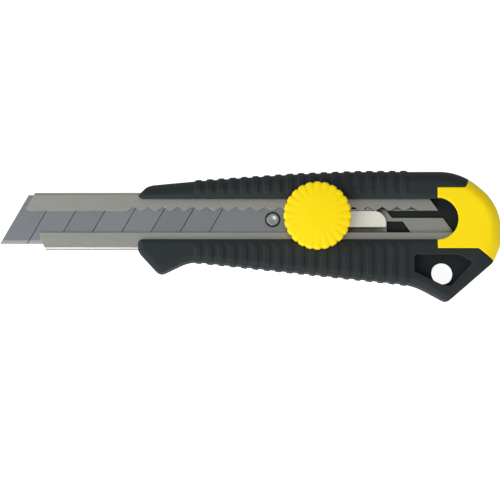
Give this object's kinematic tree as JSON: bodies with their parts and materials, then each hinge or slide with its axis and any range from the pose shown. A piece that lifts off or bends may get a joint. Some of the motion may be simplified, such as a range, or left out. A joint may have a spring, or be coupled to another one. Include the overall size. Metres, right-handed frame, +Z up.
{
  "type": "snap-off utility knife",
  "caption": "Snap-off utility knife: ribbed handle, folded steel channel, segmented blade on a sliding carrier, threaded thumb-wheel lock, pull-off end cap and lanyard hole.",
  "frame": {"origin": "middle of the underside that the knife lies on, below the centre of its bounding box", "axes": "+X from the blade's tip to the end cap, +Y from the cutting edge to the spine, +Z up through the thumb wheel"},
  "size_m": [0.1836, 0.0478, 0.0229],
  "materials": {
    "core_plastic": "fine moulded texture",
    "grip_rubber": "soft matt",
    "cap_plastic": "satin moulded",
    "channel_steel": "fine brushed",
    "blade_steel": "ground",
    "carrier_steel": "polished",
    "pin_steel": "turned",
    "spring_steel": "rolled",
    "clamp_steel": "zinc plated",
    "insert_brass": "turned",
    "wheel_plastic": "satin moulded"
  },
  "bodies": {
    "handle": {"handle_core": "core_plastic", "upper_grip": "grip_rubber", "lower_grip": "grip_rubber", "back_pad": "grip_rubber", "blade_channel": "channel_steel"},
    "slider": {"blade_carrier": "carrier_steel", "blade_pin": "pin_steel", "lock_stud": "pin_steel", "click_spring": "spring_steel", "spring_rivet": "pin_steel", "snap_blade": "blade_steel"},
    "clamp": {"clamp_plate": "clamp_steel", "spring_washer": "spring_steel"},
    "wheel": {"wheel_insert": "insert_brass", "lock_wheel": "wheel_plastic"},
    "cap": {"end_cap": "cap_plastic"}
  },
  "joints": [
    {"name": "blade_slide", "type": "slide", "parent": "handle", "child": "slider", "axis": [-1, 0, 0], "range_m": [-0.03745, 0.0535], "deforming": ["click_spring"]},
    {"name": "clamp_lift", "type": "slide", "parent": "slider", "child": "clamp", "axis": [0, 0, 1], "range_m": [0, 0.000816]},
    {"name": "wheel_turn", "type": "hinge", "parent": "clamp", "child": "wheel", "pos_m": [0.0244, 0.00663, 0.0167], "axis": [0, 0, 1], "range_deg": [0, 360]},
    {"name": "cap_pull", "type": "slide", "parent": "handle", "child": "cap", "axis": [1, 0, 0], "range_m": [0, 0.024]}
  ],
  "couplings": [
    {"joint": "clamp_lift", "follows": "wheel_turn", "m_per_rad": 0.00012732}
  ]
}
